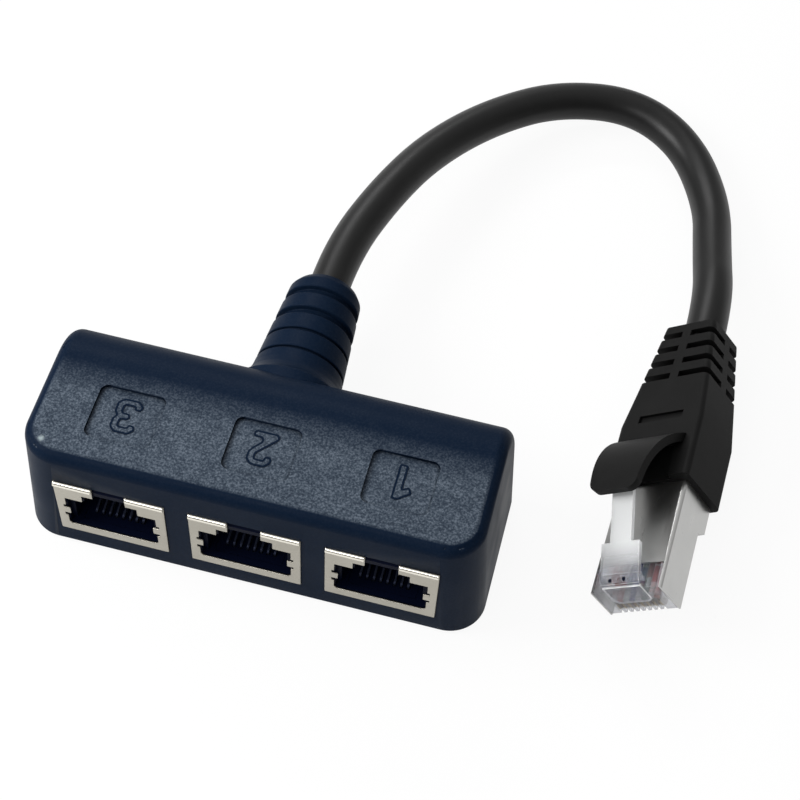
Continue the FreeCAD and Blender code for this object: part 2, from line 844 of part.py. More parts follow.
def main():
    os.makedirs("parts", exist_ok=True)
    export("housing", make_housing())
    shield = make_jack_shield()
    body = make_jack_body()
    carrier = make_contact_carrier()
    contacts = [make_contact(index) for index in range(contact_count)]
    for jack in range(jack_count):
        label = "jack_" + str(jack_count - jack)
        export(label + "_shield", seat_jack_piece(shield, jack))
        export(label + "_body", seat_jack_piece(body, jack))
        export(label + "_contact_carrier", seat_jack_piece(carrier, jack))
        for index, contact in enumerate(contacts):
            export(label + "_contact_" + str(index + 1), seat_jack_piece(contact, jack))
    export("circuit_board", make_board())
    export("board_wires", make_board_wires())
    export("cable", make_cable())
    export("plug_boot", seat_plug_piece(make_boot()))
    export("plug_body", seat_plug_piece(make_plug_body()))
    export("plug_shield", seat_plug_piece(make_plug_shield()))
    for index in range(contact_count):
        export("plug_blade_" + str(index + 1), seat_plug_piece(make_blade(index)))
        export("plug_wire_" + str(index + 1), seat_plug_piece(make_plug_wire(index)))


main()
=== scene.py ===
import bpy
import bmesh
import math
from mathutils import Matrix, Vector


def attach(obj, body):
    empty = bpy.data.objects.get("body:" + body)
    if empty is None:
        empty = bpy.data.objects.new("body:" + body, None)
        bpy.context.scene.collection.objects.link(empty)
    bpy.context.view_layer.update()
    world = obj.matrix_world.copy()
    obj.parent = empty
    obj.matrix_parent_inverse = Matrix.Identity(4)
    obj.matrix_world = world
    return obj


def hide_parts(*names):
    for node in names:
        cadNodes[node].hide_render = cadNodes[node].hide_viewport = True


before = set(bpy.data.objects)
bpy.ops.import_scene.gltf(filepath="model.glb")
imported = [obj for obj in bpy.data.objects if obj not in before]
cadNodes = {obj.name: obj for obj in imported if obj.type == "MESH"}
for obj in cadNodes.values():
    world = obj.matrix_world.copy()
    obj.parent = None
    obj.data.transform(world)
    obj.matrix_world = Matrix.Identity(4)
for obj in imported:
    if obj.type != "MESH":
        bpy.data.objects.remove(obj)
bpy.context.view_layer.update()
mm = 0.001


def linearColor(code):
    channels = [int(code[i:i + 2], 16) / 255 for i in (1, 3, 5)]
    return [c / 12.92 if c <= 0.04045 else ((c + 0.055) / 1.055) ** 2.4 for c in channels] + [1.0]


def addNode(tree, kind, values=None, links=None, **settings):
    node = tree.nodes.new(kind)
    for name, value in settings.items():
        setattr(node, name, value)
    for socket, value in (values or {}).items():
        node.inputs[socket].default_value = value
    for socket, source in (links or {}).items():
        tree.links.new(source, node.inputs[socket])
    return node


def startMaterial(name):
    material = bpy.data.materials.new(name)
    material.use_nodes = True
    tree = material.node_tree
    tree.nodes.clear()
    where = addNode(tree, "ShaderNodeTexCoord")
    return material, tree, where.outputs["Object"]


def finishMaterial(tree, shader):
    addNode(tree, "ShaderNodeOutputMaterial", links={"Surface": shader.outputs[0]})


def rampStops(node, stops):
    ramp = node.color_ramp
    while len(ramp.elements) < len(stops):
        ramp.elements.new(1.0)
    for element, (place, color) in zip(ramp.elements, stops):
        element.position = place
        element.color = color


def grey(level):
    return (level, level, level, 1.0)


def addObject(name, data):
    made = bpy.data.objects.new(name, data)
    bpy.context.scene.collection.objects.link(made)
    return made


def meshFrom(shape, name):
    mesh = bpy.data.meshes.new(name)
    shape.to_mesh(mesh)
    shape.free()
    return mesh


# Camera at the photograph's angle: place in metres, lens and sensor in millimetres
photoView = {
    "place": (0.04182, -0.13561, 0.22875),
    "axes": ((0.96849, -0.22694, 0.10265), (0.24556, 0.80109, -0.54586), (0.04165, 0.55386, 0.83157)),
    "lens": 78.23, "sensor": 36, "clip": (0.005, 20),
}
cameraData = bpy.data.cameras.new("photoCamera")
cameraData.sensor_width = photoView["sensor"]
cameraData.lens = photoView["lens"]
cameraData.clip_start, cameraData.clip_end = photoView["clip"]
camera = addObject("photoCamera", cameraData)
camera.matrix_world = Matrix.Translation(photoView["place"]) @ Matrix(photoView["axes"]).to_4x4()
bpy.context.scene.camera = camera

# Soft studio lamps: place and target in metres, size in metres, power in watts
lamps = {
    "keyAbove": {"place": (-0.3, -0.06, 0.26), "target": (0, 0.01, 0.01),
                 "size": (0.22, 0.16), "power": 1.5},
    "stripBack": {"place": (-0.16, 0.42, 0.34), "target": (0.02, 0.05, 0.01),
                  "size": (0.3, 0.035), "power": 0.8},
    "fillFront": {"place": (-0.12, -0.36, 0.46), "target": (0, -0.02, 0.01),
                  "size": (0.3, 0.22), "power": 0.9},
}
for name, lamp in lamps.items():
    light = bpy.data.lights.new(name, "AREA")
    light.shape = "RECTANGLE"
    light.size, light.size_y = lamp["size"]
    light.energy = lamp["power"]
    place = Vector(lamp["place"])
    facing = (Vector(lamp["target"]) - place).to_track_quat("-Z", "Y")
    addObject(name, light).matrix_world = Matrix.Translation(place) @ facing.to_matrix().to_4x4()

# Room light: dim at mid height, bright overhead and at the horizon, weaker in front of the object
room = {"dome": ((0.0, 0.95), (0.12, 0.6), (0.45, 0.36), (0.75, 0.6), (1.0, 1.0)),
        "fade": (-0.7, 0.5), "front": 0.35, "back": 1.0}
world = bpy.data.worlds.new("paleRoom")
bpy.context.scene.world = world
world.use_nodes = True
tree = world.node_tree
tree.nodes.clear()
rays = addNode(tree, "ShaderNodeLightPath")
direction = addNode(tree, "ShaderNodeTexCoord")
axes = addNode(tree, "ShaderNodeSeparateXYZ", links={0: direction.outputs["Generated"]})
dome = addNode(tree, "ShaderNodeValToRGB", links={0: axes.outputs["Z"]})
rampStops(dome, [(height, grey(level)) for height, level in room["dome"]])
strength = addNode(tree, "ShaderNodeMapRange",
                   {1: room["fade"][0], 2: room["fade"][1], 3: room["front"], 4: room["back"]},
                   {0: axes.outputs["Y"]})
roomLight = addNode(tree, "ShaderNodeBackground",
                    links={"Color": dome.outputs[0], "Strength": strength.outputs[0]})
whiteView = addNode(tree, "ShaderNodeBackground", {"Color": grey(1.0), "Strength": 1.0})
seen = addNode(tree, "ShaderNodeMixShader",
               links={0: rays.outputs["Is Camera Ray"], 1: roomLight.outputs[0], 2: whiteView.outputs[0]})
addNode(tree, "ShaderNodeOutputWorld", links={"Surface": seen.outputs[0]})

# The floor reads as white paper and keeps a faint shadow
paper = {"size": 1.2, "shade": 0.86, "cameraGlow": 0.92, "throughGlow": 0.86, "mirroredGlow": 0.6}
shape = bmesh.new()
bmesh.ops.create_grid(shape, x_segments=1, y_segments=1, size=paper["size"])
floorMesh = meshFrom(shape, "floor")
floor = addObject("floor", floorMesh)
whitePaper, tree, where = startMaterial("whitePaper")
rays = addNode(tree, "ShaderNodeLightPath")
sheet = addNode(tree, "ShaderNodeBsdfDiffuse", {"Color": grey(paper["shade"])})
glow = addNode(tree, "ShaderNodeEmission", {"Color": grey(1.0), "Strength": 1.0})
mirrored = addNode(tree, "ShaderNodeMath", {1: paper["mirroredGlow"]}, {0: rays.outputs["Is Glossy Ray"]},
                   operation="MULTIPLY")
through = addNode(tree, "ShaderNodeMath", {1: paper["throughGlow"]},
                  {0: rays.outputs["Is Transmission Ray"], 2: mirrored.outputs[0]}, operation="MULTIPLY_ADD")
seen = addNode(tree, "ShaderNodeMath", {1: paper["cameraGlow"]},
               {0: rays.outputs["Is Camera Ray"], 2: through.outputs[0]}, operation="MULTIPLY_ADD")
mixed = addNode(tree, "ShaderNodeMixShader",
                links={0: seen.outputs[0], 1: sheet.outputs[0], 2: glow.outputs[0]})
finishMaterial(tree, mixed)
floorMesh.materials.append(whitePaper)
print("camera, lamps and floor ready")


# Materials, each named for the real stuff and how its surface was made, and for any light or shade painted
# into its colour


def noise(tree, where, scale, detail, **more):
    values = {"Scale": scale, "Detail": detail, **more}
    return addNode(tree, "ShaderNodeTexNoise", values, {"Vector": where}).outputs["Fac"]


def spread(tree, source, low, high, start=0.0, end=1.0):
    return addNode(tree, "ShaderNodeMapRange", {1: start, 2: end, 3: low, 4: high}, {0: source}).outputs[0]


def maths(tree, operation, *inputs, **settings):
    node = addNode(tree, "ShaderNodeMath", operation=operation, **settings)
    for socket, source in zip(node.inputs, inputs):
        if isinstance(source, bpy.types.NodeSocket):
            tree.links.new(source, socket)
        else:
            socket.default_value = source
    return node.outputs[0]


def twoTone(tree, factor, low, high):
    mix = addNode(tree, "ShaderNodeMix", links={0: factor}, data_type="RGBA")
    for socket, color in zip(mix.inputs[6:8], (low, high)):  # the node's two color inputs
        if isinstance(color, str):
            socket.default_value = linearColor(color)
        else:
            tree.links.new(color, socket)
    return mix.outputs[2]


def bumps(tree, height, distance, strength):
    values = {"Distance": distance, "Strength": strength}
    return addNode(tree, "ShaderNodeBump", values, {"Height": height}).outputs[0]


def principled(tree, values, color=None, rough=None, normal=None):
    given = {"Base Color": color, "Roughness": rough, "Normal": normal}
    links = {name: source for name, source in given.items() if source is not None}
    return addNode(tree, "ShaderNodeBsdfPrincipled", values, links)


def mixShaders(tree, factor, first, second):
    return addNode(tree, "ShaderNodeMixShader", links={0: factor, 1: first.outputs[0], 2: second.outputs[0]})


def paintedGrooveShade(tree, color, reach, deep):
    # painted shade: the colour is darkened by ambient occlusion in narrow grooves and slots, where little
    # light comes back out
    openness = addNode(tree, "ShaderNodeAmbientOcclusion", {"Distance": reach}, samples=8)
    grooveShadeShare = spread(tree, openness.outputs["AO"], deep, 1.0, start=0.25, end=0.85)
    shaded = addNode(tree, "ShaderNodeVectorMath", {}, {0: color}, operation="SCALE")
    tree.links.new(grooveShadeShare, shaded.inputs["Scale"])
    return shaded.outputs[0]


def mouldedAbs(name, grainShare):
    # ABS moulding: spark-eroded grain on the flat top, and satin elsewhere. The grain is coloured lighter
    # than the smooth navy as a painted sheen, and it fades where the surface turns from flat and towards the
    # back, as painted shade on the back round
    look = {"smooth": "#081628", "pit": "#2c343f", "grain": "#3c4550", "speck": "#5b646f",
            "grainWidth": 0.3 * mm, "top": 23.5 * mm, "sink": 0.6 * mm, "flatness": (0.93, 0.998),
            "back": (-12.0 * mm, -6.5 * mm), "backShare": 0.02, "elsewhere": 0.04,
            "satin": (0.34, 0.46), "dull": 0.62, "tooth": (0.16, 0.7), "toothHeight": 0.05 * mm,
            "mark": (-29.9 * mm, -20.6 * mm, 23.5 * mm), "markColor": "#a9b6b8", "markShare": 0.6,
            "markReach": (0.55 * mm, 0.2 * mm), "markRagged": 0.9 * mm}
    material, tree, where = startMaterial(name)
    place = addNode(tree, "ShaderNodeSeparateXYZ", links={0: where})
    surface = addNode(tree, "ShaderNodeNewGeometry")
    facing = addNode(tree, "ShaderNodeSeparateXYZ", links={0: surface.outputs["Normal"]})
    flat = spread(tree, facing.outputs["Z"], 0.0, 1.0, *look["flatness"])
    high = spread(tree, place.outputs["Z"], 0.0, 1.0,
                  look["top"] - 2 * look["sink"], look["top"] - look["sink"])
    # painted shade: the grain's lighter colour fades towards the back
    grainBackShade = spread(tree, place.outputs["Y"], grainShare, look["backShare"] * grainShare, *look["back"])
    grainAndSheen = maths(tree, "MULTIPLY", maths(tree, "MULTIPLY", flat, high), grainBackShade)
    grit = noise(tree, where, 1 / look["grainWidth"], 3.0, Roughness=0.66)
    uneven = spread(tree, noise(tree, where, 420.0, 3.0), -0.03, 0.03, start=0.35, end=0.65)
    specks = addNode(tree, "ShaderNodeValToRGB", links={0: maths(tree, "ADD", grit, uneven)})
    rampStops(specks, [(0.38, linearColor(look["pit"])), (0.49, linearColor(look["grain"])),
                       (0.66, linearColor(look["speck"]))])
    # a pale spot near the front-left corner of the top
    near = addNode(tree, "ShaderNodeVectorMath", {1: look["mark"]}, {0: where}, operation="DISTANCE")
    ragged = maths(tree, "MULTIPLY_ADD", grit, look["markRagged"], -look["markRagged"] / 2)
    reach = maths(tree, "ADD", near.outputs["Value"], ragged)
    paleSpot = spread(tree, reach, 0.0, look["markShare"] * grainShare, *look["markReach"])
    marked = twoTone(tree, paleSpot, specks.outputs[0], look["markColor"])
    # painted sheen: the grain is lighter than the smooth navy
    color = twoTone(tree, spread(tree, grainAndSheen, look["elsewhere"], 1.0), look["smooth"], marked)
    satin = spread(tree, noise(tree, where, 110.0, 2.0), *look["satin"], start=0.3, end=0.7)
    rough = addNode(tree, "ShaderNodeMix", {3: look["dull"]}, {0: grainAndSheen, 2: satin})
    tooth = addNode(tree, "ShaderNodeBump", {"Distance": look["toothHeight"]},
                    {"Height": grit, "Strength": spread(tree, grainAndSheen, *look["tooth"])})
    # painted shade in the panel edges, grooves and gaps of the housing
    shaded = paintedGrooveShade(tree, color, 1.2 * mm, 0.25)
    values = {"IOR": 1.54, "Specular IOR Level": 0.02}
    finishMaterial(tree, principled(tree, values, shaded, rough.outputs[0], tooth.outputs[0]))
    return material


def satinPvc():
    # extruded PVC jacket: near black, a soft long highlight, faint drawing marks
    material, tree, where = startMaterial("pvcExtruded")
    haze = noise(tree, where, 400.0, 3.0)
    color = twoTone(tree, haze, "#0d0d0d", "#141414")
    rough = spread(tree, haze, 0.36, 0.46)
    marks = bumps(tree, noise(tree, where, 5000.0, 2.0), 0.01 * mm, 0.25)
    finishMaterial(tree, principled(tree, {"IOR": 1.53, "Specular IOR Level": 0.25}, color, rough, marks))
    return material


def matteRubber():
    # thermoplastic rubber boot: matte charcoal with a very fine moulded tooth
    material, tree, where = startMaterial("rubberMoulded")
    color = twoTone(tree, noise(tree, where, 260.0, 4.0), "#101010", "#181818")
    tooth = bumps(tree, noise(tree, where, 4000.0, 2.0), 0.015 * mm, 0.4)
    # painted shade in the boot's slots and grooves
    shaded = paintedGrooveShade(tree, color, 1.6 * mm, 0.12)
    values = {"IOR": 1.5, "Roughness": 0.55, "Specular IOR Level": 0.08}
    finishMaterial(tree, principled(tree, values, shaded, normal=tooth))
    return material


def blackPbt():
    # glass-filled PBT of the jack bodies: black, half gloss
    material, tree, where = startMaterial("pbtMoulded")
    haze = noise(tree, where, 900.0, 3.0)
    values = {"IOR": 1.55, "Base Color": linearColor("#060b1d"), "Specular IOR Level": 0.03}
    rough = spread(tree, haze, 0.34, 0.5)
    finishMaterial(tree, principled(tree, values, None, rough, bumps(tree, haze, 0.01 * mm, 0.3)))
    return material


def nickelSheet(name, tint, rough, stretch, grain):
    # nickel plated steel strip: pale, with fine rolling marks that stretch draws out one way
    material, tree, where = startMaterial(name)
    rolled = addNode(tree, "ShaderNodeMapping", {"Scale": stretch}, {"Vector": where})
    lines = noise(tree, rolled.outputs[0], 450.0, 4.0, Roughness=0.6)
    color = twoTone(tree, noise(tree, where, 170.0, 3.0), *tint)
    gloss = spread(tree, lines, *rough, start=0.3, end=0.7)
    marks = bumps(tree, lines, 0.006 * mm, grain)
    finishMaterial(tree, principled(tree, {"Metallic": 1.0}, color, gloss, marks))
    return material


def clearPolycarbonate():
    # water-clear polycarbonate, moulded thin: clear in the nose, whitish in the latch that bends
    material, tree, where = startMaterial("polycarbonateClear")
    milk = addNode(tree, "ShaderNodeAttribute", attribute_name="milk").outputs["Fac"]
    flow = noise(tree, where, 260.0, 2.0, Distortion=0.6)
    rough = spread(tree, flow, 0.06, 0.16)
    ripple = bumps(tree, flow, 0.04 * mm, 0.4)
    glassy, milky = [
        principled(tree, {"IOR": 1.585, "Base Color": linearColor(code), "Transmission Weight": passed},
                   None, rough, ripple)
        for code, passed in (("#dddde6", 0.9), ("#f4f5f5", 0.2))]
    clear = addNode(tree, "ShaderNodeBsdfTransparent", {"Color": linearColor("#f6f7f8")})
    edge = addNode(tree, "ShaderNodeLayerWeight", {"Blend": 0.35})
    cover = spread(tree, edge.outputs["Facing"], 0.26, 0.8, start=0.05, end=0.75)
    filled = maths(tree, "MULTIPLY_ADD", milk, 0.26, cover, use_clamp=True)
    finishMaterial(tree, mixShaders(tree, filled, clear, mixShaders(tree, milk, glassy, milky)))
    return material


def edgeHighlightAndShade():
    # rounded edges of the polycarbonate: white along the latch as a painted highlight, where they gather
    # light, and dark grey round the nose as painted shade
    material, tree, where = startMaterial("polycarbonateEdgeLightShade")
    latch = addNode(tree, "ShaderNodeAttribute", attribute_name="latch").outputs["Fac"]
    uneven = noise(tree, where, 1300.0, 2.0)
    # painted shade round the nose, painted highlight along the latch
    tone = twoTone(tree, latch, "#50505c", "#ffffff")
    rough = spread(tree, uneven, 0.1, 0.3)
    body = principled(tree, {"IOR": 1.585, "Transmission Weight": 0.1}, tone, rough)
    clear = addNode(tree, "ShaderNodeBsdfTransparent", {"Color": linearColor("#f6f7f8")})
    cover = spread(tree, uneven, 0.6, 0.95, start=0.35, end=0.65)
    finishMaterial(tree, mixShaders(tree, cover, clear, body))
    return material


def goldPlate(name, tint, roughness):
    # gold flash over nickel on phosphor bronze
    material, tree, where = startMaterial(name)
    rough = spread(tree, noise(tree, where, 1500.0, 2.0), roughness, roughness + 0.12)
    finishMaterial(tree, principled(tree, {"Metallic": 1.0, "Base Color": linearColor(tint)}, rough=rough))
    return material


def solderMask():
    # glass-epoxy board under green solder mask, weave just showing
    material, tree, where = startMaterial("glassEpoxyMasked")
    weave = addNode(tree, "ShaderNodeTexWave", {"Scale": 520.0, "Distortion": 0.4}, {"Vector": where})
    color = twoTone(tree, weave.outputs["Fac"], "#0d3a22", "#14502f")
    finishMaterial(tree, principled(tree, {"IOR": 1.5, "Roughness": 0.32, "Coat Weight": 0.4}, color))
    return material


def wireInsulation():
    # extruded polyethylene on each core: a solid colour, or in bands with white
    solids = ["#b8503f", "#b8503f", "#6f8a7c", "#6c78a8", "#6c78a8", "#6f8a7c", "#a8544e", "#a8544e"]
    material, tree, where = startMaterial("polyethyleneExtruded")
    number = addNode(tree, "ShaderNodeAttribute", attribute_name="core").outputs["Fac"]
    tone = addNode(tree, "ShaderNodeValToRGB", links={0: number})
    banded = addNode(tree, "ShaderNodeValToRGB", links={0: number})
    for ramp, colors in ((tone, [linearColor(code) for code in solids]),
                         (banded, [grey(1.0), grey(0.0)] * (len(solids) // 2))):
        ramp.color_ramp.interpolation = "CONSTANT"
        rampStops(ramp, [(i / len(solids), color) for i, color in enumerate(colors)])
    bands = addNode(tree, "ShaderNodeTexWave", {"Scale": 55.0}, {"Vector": where}, bands_direction="Y")
    gap = maths(tree, "GREATER_THAN", bands.outputs["Fac"], 0.45)
    color = twoTone(tree, maths(tree, "MULTIPLY", gap, banded.outputs[0]), tone.outputs[0], "#dcd9d4")
    finishMaterial(tree, principled(tree, {"IOR": 1.51, "Roughness": 0.38}, color))
    return material


housingAbs = mouldedAbs("absMouldedGrained", 1.0)
# the same ABS without grain, dark, for the painted shade round the port numbers
outlineShadeAbs = mouldedAbs("absMouldedOutlineShade", 0.0)
jacketPvc = satinPvc()
bootRubber = matteRubber()
jackPbt = blackPbt()
jackNickel = nickelSheet("nickelPlatedWarm", ("#a09c91", "#b4b0a5"), (0.26, 0.42), (1.0, 1.0, 14.0), 0.3)
plugNickel = nickelSheet("nickelPlatedBright", ("#b6b6b5", "#c2c2c0"), (0.27, 0.33), (6.0, 0.5, 6.0), 0.06)
plugPolycarbonate = clearPolycarbonate()
edgeLightPolycarbonate = edgeHighlightAndShade()
# a lighter copy of the jack shield's nickel for the rolled lips: painted highlight on top of the lamp's
lipNickelLightened = nickelSheet("nickelPlatedRolledLightened", ("#e4e0d4", "#efebdf"), (0.2, 0.27), (14.0, 1.0, 1.0), 0.15)
# contacts deep in the jack cavity: the gold is painted dark bluish grey as painted shade
contactGoldShaded = goldPlate("goldFlashShaded", "#33384a", 0.56)
bladeGold = goldPlate("goldPlated", "#9c917e", 0.3)
boardEpoxy = solderMask()
coreInsulation = wireInsulation()
print("materials ready")


def addPiece(name, mesh, material):
    piece = addObject(name, mesh)
    if material:
        mesh.materials.clear()
        mesh.materials.append(material)
    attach(piece, "root")
    return piece


def bake(piece):
    made = bpy.data.meshes.new_from_object(piece.evaluated_get(bpy.context.evaluated_depsgraph_get()))
    made.name = piece.name
    piece.modifiers.clear()
    piece.data = made


def smoothPiece(piece, degrees):
    piece.data.polygons.foreach_set("use_smooth", [True] * len(piece.data.polygons))
    piece.data.set_sharp_from_angle(angle=math.radians(degrees))
    even = piece.modifiers.new("evenNormals", "WEIGHTED_NORMAL")
    even.keep_sharp = True
    bake(piece)


def softEdges(piece, width, degrees, segments=2, look=None):
    edge = piece.modifiers.new("softEdge", "BEVEL")
    edge.width = width
    edge.segments = segments
    edge.limit_method = "ANGLE"
    edge.angle_limit = math.radians(degrees)
    if look:
        piece.data.materials.append(look)
        edge.material = 1
    bake(piece)


# Copies of CAD nodes: seams are merged, slivers and flat joins dissolved, then the edges get their radius
cleaning = {"merge": 0.006 * mm, "shortest": 0.008 * mm, "flatDegrees": 0.3, "edgeDegrees": 35}


def mergedCopy(nodeName, pieceName, material, bevel=None, sharp=35, cutBehind=None, rework=None,
               edgeLook=None):
    shape = bmesh.new()
    shape.from_mesh(cadNodes[nodeName].data)
    bmesh.ops.remove_doubles(shape, verts=shape.verts, dist=cleaning["merge"])
    if cutBehind:
        parts = shape.verts[:] + shape.edges[:] + shape.faces[:]
        bmesh.ops.bisect_plane(shape, geom=parts, plane_co=(0, cutBehind, 0), plane_no=(0, 1, 0),
                               clear_outer=True)
    bmesh.ops.dissolve_degenerate(shape, dist=cleaning["shortest"], edges=shape.edges)
    bmesh.ops.dissolve_limit(shape, angle_limit=math.radians(cleaning["flatDegrees"]), verts=shape.verts,
                             edges=shape.edges)
    if rework:
        rework(shape)
    piece = addPiece(pieceName, meshFrom(shape, pieceName), material)
    if bevel:
        softEdges(piece, bevel, cleaning["edgeDegrees"], look=edgeLook)
    smoothPiece(piece, sharp)
    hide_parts(nodeName)
    return piece


# Housing with its strain relief
relief = {"x": -0.85, "z": 11.75, "tip": 23.5, "length": 21.2, "tipRadius": 5.6, "baseRadius": 7.3,
          "bore": 3.24, "boreDepth": 2.4, "boreRim": (0.3, 0.2), "mouth": 4.1, "tipRound": 1.8,
          "wide": (4.4, 8.6), "wideWidth": 1.4, "wideDepth": 0.85,
          "fine": (12.5, 16.2), "fineWidth": 0.5, "fineDepth": 0.45, "wallShare": 0.08,
          "cove": 4.6, "flare": 1.3, "lap": 0.06, "lapRise": 0.25, "sunk": 2.6, "sunkRise": 0.2,
          "cutLap": 0.02, "edge": 0.22, "steps": 96, "merge": 0.001 * mm}
panels = {"floor": 23.15 * mm, "sunk": 22.98 * mm, "slack": 0.02 * mm}


def deepenPanels(shape):
    for vertex in shape.verts:
        if abs(vertex.co.z - panels["floor"]) < panels["slack"]:
            vertex.co.z = panels["sunk"]


mergedCopy("housing", "housingShell", housingAbs, sharp=30, rework=deepenPanels,
           cutBehind=(relief["tip"] - relief["length"] + relief["cutLap"]) * mm)


def softenedLine(points, reach):
    line = [points[0]]
    for before, here, after in zip(points, points[1:], points[2:]):
        into = min(reach, (here - before).length * 0.45)
        out = min(reach, (after - here).length * 0.45)
        start = here + (before - here).normalized() * into
        end = here + (after - here).normalized() * out
        line += [start.lerp(here, t).lerp(here.lerp(end, t), t) for t in (0, 0.33, 0.67, 1)]
    return line + [points[-1]]


def reliefRadius(place):
    share = place / relief["length"]
    return relief["tipRadius"] + (relief["baseRadius"] - relief["tipRadius"]) * share


# Strain relief: bands between two broad grooves and two fine lines, turned round the cable's axis
rimAlong, rimUp = relief["boreRim"]
outline = [(relief["boreDepth"], relief["bore"]), (rimAlong, relief["bore"]), (0, relief["bore"] + rimUp),
           (0, relief["mouth"]),
           (0.35 * relief["tipRound"], 0.4 * relief["mouth"] + 0.6 * relief["tipRadius"]),
           (relief["tipRound"], reliefRadius(relief["tipRound"]))]
for places, width, depth in ((relief["wide"], relief["wideWidth"], relief["wideDepth"]),
                             (relief["fine"], relief["fineWidth"], relief["fineDepth"])):
    wall = relief["wallShare"] * width
    for place in places:
        near, far = place - width / 2, place + width / 2
        outline += [(near, reliefRadius(near)), (near + wall, reliefRadius(near) - depth),
                    (far - wall, reliefRadius(far) - depth), (far, reliefRadius(far))]
for share in (0, 0.3, 0.55, 0.75, 0.9, 1):
    place = relief["length"] + relief["lap"] - relief["cove"] * (1 - share)
    rise = (relief["flare"] + relief["lapRise"]) * share ** 3
    outline.append((place, reliefRadius(place) + rise))
# runs on inside the housing
outline.append((relief["length"] + relief["sunk"], outline[-1][1] + relief["sunkRise"]))
line = softenedLine([Vector((place, radius)) for place, radius in outline], relief["edge"])
shape = bmesh.new()
ring = [shape.verts.new(Vector((relief["x"], relief["tip"] - p.x, relief["z"] + p.y)) * mm) for p in line]
edges = [shape.edges.new(pair) for pair in zip(ring, ring[1:])]
bmesh.ops.spin(shape, geom=ring + edges, cent=Vector((relief["x"], 0, relief["z"])) * mm, axis=(0, 1, 0),
               angle=2 * math.pi, steps=relief["steps"], use_merge=True)
bmesh.ops.remove_doubles(shape, verts=shape.verts, dist=relief["merge"])
bmesh.ops.recalc_face_normals(shape, faces=shape.faces)
strainRelief = addPiece("strainRelief", meshFrom(shape, "strainRelief"), housingAbs)
smoothPiece(strainRelief, 60)
print("housing ready")


def newTree(name, inputs):
    tree = bpy.data.node_groups.new(name, "GeometryNodeTree")
    tree.interface.new_socket("Geometry", in_out="INPUT", socket_type="NodeSocketGeometry")
    for label, kind in inputs.items():
        tree.interface.new_socket(label, in_out="INPUT", socket_type=kind)
    tree.interface.new_socket("Geometry", in_out="OUTPUT", socket_type="NodeSocketGeometry")
    return tree, addNode(tree, "NodeGroupInput").outputs


def grow(name, source, tree, values):
    maker = addObject(name + "Maker", source)
    modifier = maker.modifiers.new(name, "NODES")
    modifier.node_group = tree
    for item in tree.interface.items_tree:
        if item.in_out == "INPUT" and item.name in values:
            modifier[item.identifier] = values[item.name]
    bpy.context.view_layer.update()
    mesh = bpy.data.meshes.new_from_object(maker.evaluated_get(bpy.context.evaluated_depsgraph_get()))
    maker.modifiers.clear()
    bpy.data.objects.remove(maker)
    mesh.name = name
    return mesh


# Port numbers: each one raised in its panel, with a dark ungrained strip round it as painted shade along the
# number's walls, read from the cable side
numbers = {
    "rise": 0.08 * mm, "line": 0.3 * mm, "lineRise": 0.18 * mm, "corner": 0.6 * mm, "cornerSteps": 5,
    "sharper": {1: 0.3}, "scale": 0.92, "pitch": 19.9 * mm, "y": -13.75 * mm,
    "outlines": {
        -1: [(-1.8, 1.5), (-1.8, 2.2), (-1.1, 2.95), (1.05, 2.95), (1.8, 2.2), (1.8, 0.75), (1.3, 0.08),
             (1.9, -0.6), (1.9, -2.2), (1.1, -2.95), (-1.2, -2.95), (-1.9, -2.2), (-1.9, -1.5),
             (-0.95, -1.5), (-0.95, -1.9), (-0.7, -2.08), (0.7, -2.08), (0.95, -1.8), (0.95, -0.75),
             (0.65, -0.42), (-0.45, -0.42), (-0.45, 0.5), (0.55, 0.5), (0.85, 0.8), (0.85, 1.8),
             (0.6, 2.06), (-0.6, 2.06), (-0.88, 1.85), (-0.88, 1.5)],
        0: [(-1.75, 1.3), (-1.75, 2.1), (-1.0, 2.95), (1.05, 2.95), (1.85, 2.15), (1.85, 0.85),
            (1.4, 0.1), (-0.45, -2.05), (1.9, -2.05), (1.9, -2.95), (-1.9, -2.95), (-1.9, -2.15),
            (0.7, 0.7), (0.9, 1.05), (0.9, 1.8), (0.6, 2.06), (-0.55, 2.06), (-0.82, 1.8), (-0.82, 1.3)],
        1: [(0.7, 2.95), (0.7, -2.95), (-0.35, -2.95), (-0.35, 1.35), (-1.45, 0.75), (-1.85, 1.6),
            (-0.15, 2.95)],
    },
}
outlines = bpy.data.curves.new("portNumberOutlines", "CURVE")
outlines.dimensions = "3D"
size = numbers["scale"] * mm
for column, points in numbers["outlines"].items():
    line = outlines.splines.new("POLY")
    line.points.add(len(points) - 1)
    for point, (x, y) in zip(line.points, points):
        point.co = (column * numbers["pitch"] - x * size, numbers["y"] - y * size, 0, 1)
        point.radius = numbers["sharper"].get(column, 1.0)
    line.use_cyclic_u = True
tree, given = newTree("portNumbers", {
    "Corner radius": "NodeSocketFloat", "Corner steps": "NodeSocketInt", "Rise": "NodeSocketFloat",
    "Line width": "NodeSocketFloat", "Line rise": "NodeSocketFloat", "Panel height": "NodeSocketFloat"})
share = addNode(tree, "GeometryNodeInputRadius")
bend = maths(tree, "MULTIPLY", share.outputs[0], given["Corner radius"])
filleted = addNode(tree, "GeometryNodeFilletCurve", {"Limit Radius": True},
                   {"Curve": given["Geometry"], "Radius": bend, "Count": given["Corner steps"]}, mode="POLY")
rounded = addNode(tree, "GeometryNodeSetCurveRadius", {"Radius": 1.0}, {"Curve": filleted.outputs[0]})
flatFace = addNode(tree, "GeometryNodeFillCurve", links={"Curve": rounded.outputs[0]}, mode="TRIANGLES")
raised = addNode(tree, "GeometryNodeExtrudeMesh", {"Individual": False},
                 {"Mesh": flatFace.outputs[0], "Offset Scale": given["Rise"]}, mode="FACES")
